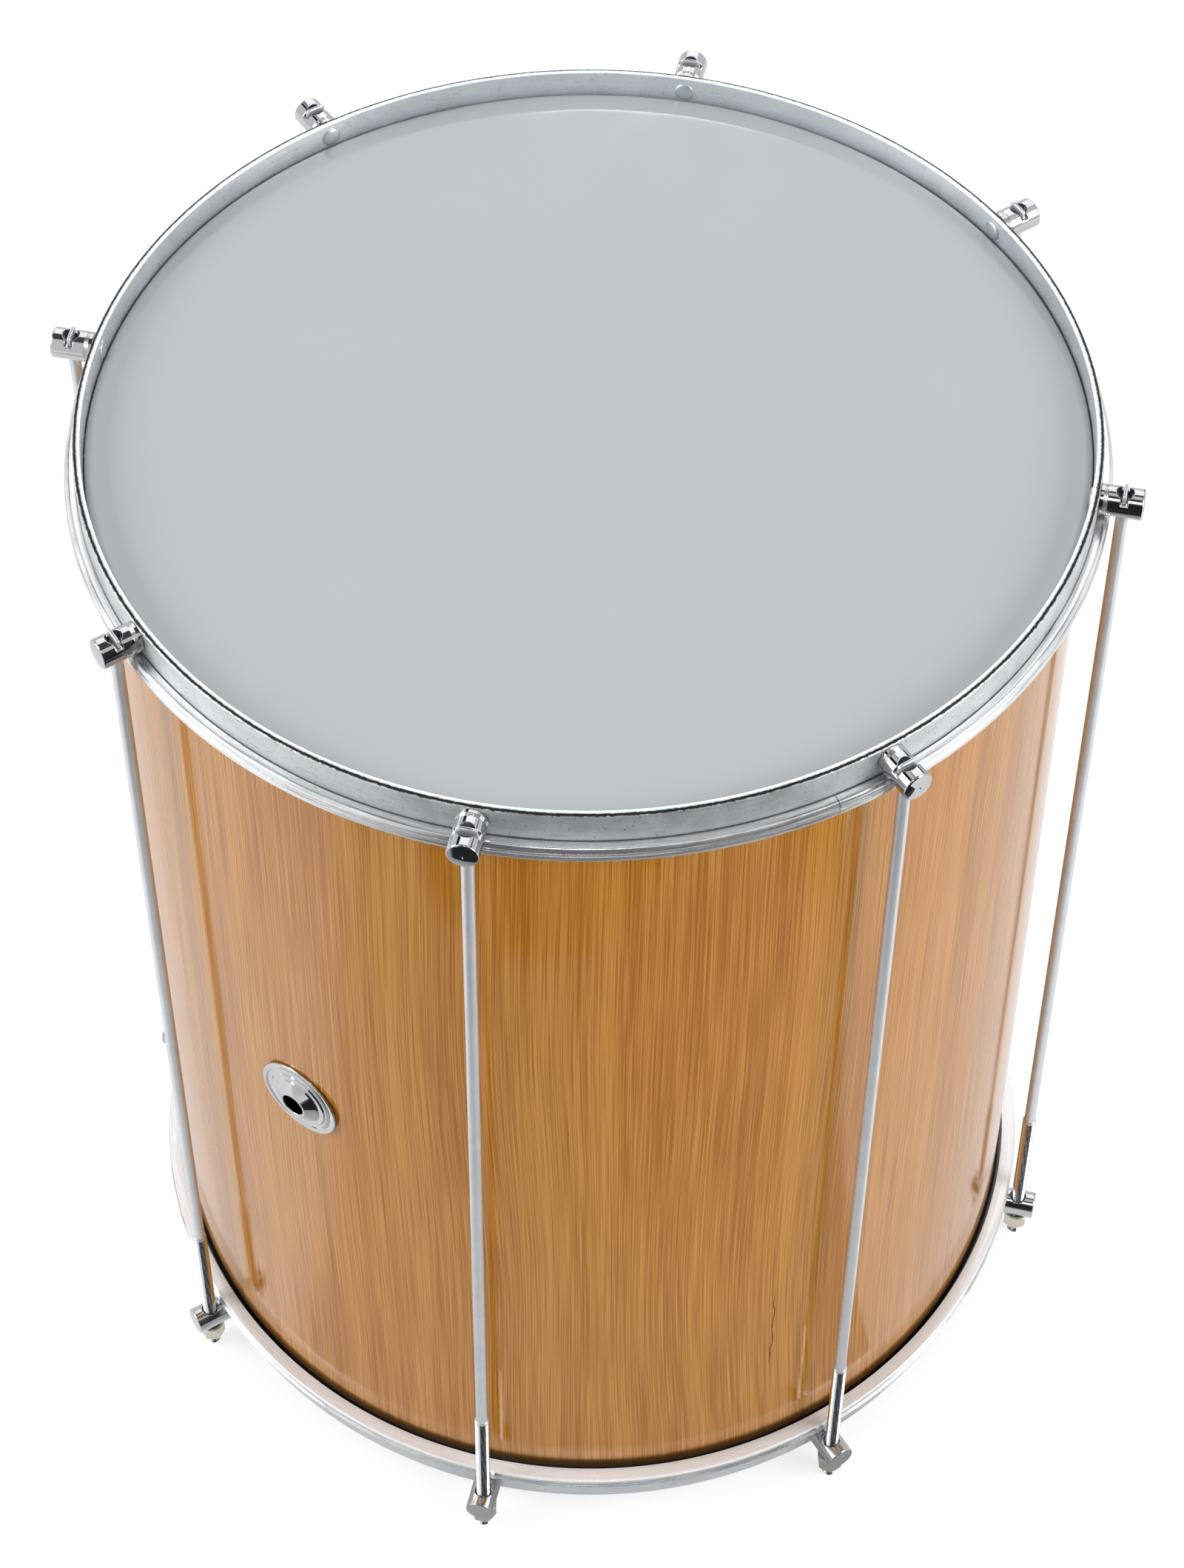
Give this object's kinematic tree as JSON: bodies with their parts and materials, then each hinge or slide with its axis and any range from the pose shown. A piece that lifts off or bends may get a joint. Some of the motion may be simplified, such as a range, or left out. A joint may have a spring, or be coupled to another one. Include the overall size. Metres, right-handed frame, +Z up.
{
  "type": "surdo",
  "caption": "Large cylindrical bass drum: wooden shell, a head at each end, steel hoops pulled together by long threaded tension rods.",
  "frame": {"origin": "on the floor under the middle of the drum, at the level of the ends of the tension rods", "axes": "+Z up along the drum's axis towards the played head; -Y points to the tension rod that faces the viewer"},
  "size_m": [0.5646, 0.5646, 0.6728],
  "materials": {
    "lacquered_wood": "high gloss clear lacquer over honey coloured veneer",
    "head_film": "smooth milky film, glossy",
    "aluminium": "drawn, bright",
    "galvanised_steel": "galvanised, satin with small pits",
    "chrome": "mirror chrome",
    "nickel": "nickel plated, slightly warm"
  },
  "bodies": {
    "drum": {"shell": "lacquered_wood", "top_head": "head_film", "top_flesh_hoop": "aluminium", "top_hoop": "galvanised_steel", "bottom_head": "head_film", "bottom_flesh_hoop": "aluminium", "bottom_hoop": "galvanised_steel", "vent_plate": "chrome", "vent_ring": "chrome", "hook_post_1": "chrome", "eye_post_1": "chrome", "tension_rod_1": "chrome", "hook_post_2": "chrome", "eye_post_2": "chrome", "tension_rod_2": "chrome", "hook_post_3": "chrome", "eye_post_3": "chrome", "tension_rod_3": "chrome", "hook_post_4": "chrome", "eye_post_4": "chrome", "tension_rod_4": "chrome", "hook_post_5": "chrome", "eye_post_5": "chrome", "tension_rod_5": "chrome", "hook_post_6": "chrome", "eye_post_6": "chrome", "tension_rod_6": "chrome", "hook_post_7": "chrome", "eye_post_7": "chrome", "tension_rod_7": "chrome", "hook_post_8": "chrome", "eye_post_8": "chrome", "tension_rod_8": "chrome"},
    "washer_1": {"washer_1": "nickel"},
    "nut_1": {"tension_nut_1": "nickel"},
    "washer_2": {"washer_2": "nickel"},
    "nut_2": {"tension_nut_2": "nickel"},
    "washer_3": {"washer_3": "nickel"},
    "nut_3": {"tension_nut_3": "nickel"},
    "washer_4": {"washer_4": "nickel"},
    "nut_4": {"tension_nut_4": "nickel"},
    "washer_5": {"washer_5": "nickel"},
    "nut_5": {"tension_nut_5": "nickel"},
    "washer_6": {"washer_6": "nickel"},
    "nut_6": {"tension_nut_6": "nickel"},
    "washer_7": {"washer_7": "nickel"},
    "nut_7": {"tension_nut_7": "nickel"},
    "washer_8": {"washer_8": "nickel"},
    "nut_8": {"tension_nut_8": "nickel"}
  },
  "joints": [
    {"name": "washer_1_travel", "type": "slide", "parent": "drum", "child": "washer_1", "axis": [-0.0126, 0.0002, -0.9999], "range_m": [0, 0.00875]},
    {"name": "nut_1_turn", "type": "hinge", "parent": "washer_1", "child": "nut_1", "pos_m": [-0.00825, -0.27153, 0.014], "axis": [-0.0126, 0.0002, -0.9999], "range_deg": [0, 2520]},
    {"name": "washer_2_travel", "type": "slide", "parent": "drum", "child": "washer_2", "axis": [-0.0091, -0.0088, -0.9999], "range_m": [0, 0.00875]},
    {"name": "nut_2_turn", "type": "hinge", "parent": "washer_2", "child": "nut_2", "pos_m": [0.18616, -0.19783, 0.014], "axis": [-0.0091, -0.0088, -0.9999], "range_deg": [0, 2520]},
    {"name": "washer_3_travel", "type": "slide", "parent": "drum", "child": "washer_3", "axis": [-0.0002, -0.0126, -0.9999], "range_m": [0, 0.00875]},
    {"name": "nut_3_turn", "type": "hinge", "parent": "washer_3", "child": "nut_3", "pos_m": [0.27153, -0.00825, 0.014], "axis": [-0.0002, -0.0126, -0.9999], "range_deg": [0, 2520]},
    {"name": "washer_4_travel", "type": "slide", "parent": "drum", "child": "washer_4", "axis": [0.0088, -0.0091, -0.9999], "range_m": [0, 0.00875]},
    {"name": "nut_4_turn", "type": "hinge", "parent": "washer_4", "child": "nut_4", "pos_m": [0.19783, 0.18616, 0.014], "axis": [0.0088, -0.0091, -0.9999], "range_deg": [0, 2520]},
    {"name": "washer_5_travel", "type": "slide", "parent": "drum", "child": "washer_5", "axis": [0.0126, -0.0002, -0.9999], "range_m": [0, 0.00875]},
    {"name": "nut_5_turn", "type": "hinge", "parent": "washer_5", "child": "nut_5", "pos_m": [0.00825, 0.27153, 0.014], "axis": [0.0126, -0.0002, -0.9999], "range_deg": [0, 2520]},
    {"name": "washer_6_travel", "type": "slide", "parent": "drum", "child": "washer_6", "axis": [0.0091, 0.0088, -0.9999], "range_m": [0, 0.00875]},
    {"name": "nut_6_turn", "type": "hinge", "parent": "washer_6", "child": "nut_6", "pos_m": [-0.18616, 0.19783, 0.014], "axis": [0.0091, 0.0088, -0.9999], "range_deg": [0, 2520]},
    {"name": "washer_7_travel", "type": "slide", "parent": "drum", "child": "washer_7", "axis": [0.0002, 0.0126, -0.9999], "range_m": [0, 0.00875]},
    {"name": "nut_7_turn", "type": "hinge", "parent": "washer_7", "child": "nut_7", "pos_m": [-0.27153, 0.00825, 0.014], "axis": [0.0002, 0.0126, -0.9999], "range_deg": [0, 2520]},
    {"name": "washer_8_travel", "type": "slide", "parent": "drum", "child": "washer_8", "axis": [-0.0088, 0.0091, -0.9999], "range_m": [0, 0.00875]},
    {"name": "nut_8_turn", "type": "hinge", "parent": "washer_8", "child": "nut_8", "pos_m": [-0.19783, -0.18616, 0.014], "axis": [-0.0088, 0.0091, -0.9999], "range_deg": [0, 2520]}
  ],
  "couplings": [
    {"joint": "nut_1_turn", "follows": "washer_1_travel", "rad_per_m": 5026.5},
    {"joint": "nut_2_turn", "follows": "washer_2_travel", "rad_per_m": 5026.5},
    {"joint": "nut_3_turn", "follows": "washer_3_travel", "rad_per_m": 5026.5},
    {"joint": "nut_4_turn", "follows": "washer_4_travel", "rad_per_m": 5026.5},
    {"joint": "nut_5_turn", "follows": "washer_5_travel", "rad_per_m": 5026.5},
    {"joint": "nut_6_turn", "follows": "washer_6_travel", "rad_per_m": 5026.5},
    {"joint": "nut_7_turn", "follows": "washer_7_travel", "rad_per_m": 5026.5},
    {"joint": "nut_8_turn", "follows": "washer_8_travel", "rad_per_m": 5026.5}
  ]
}
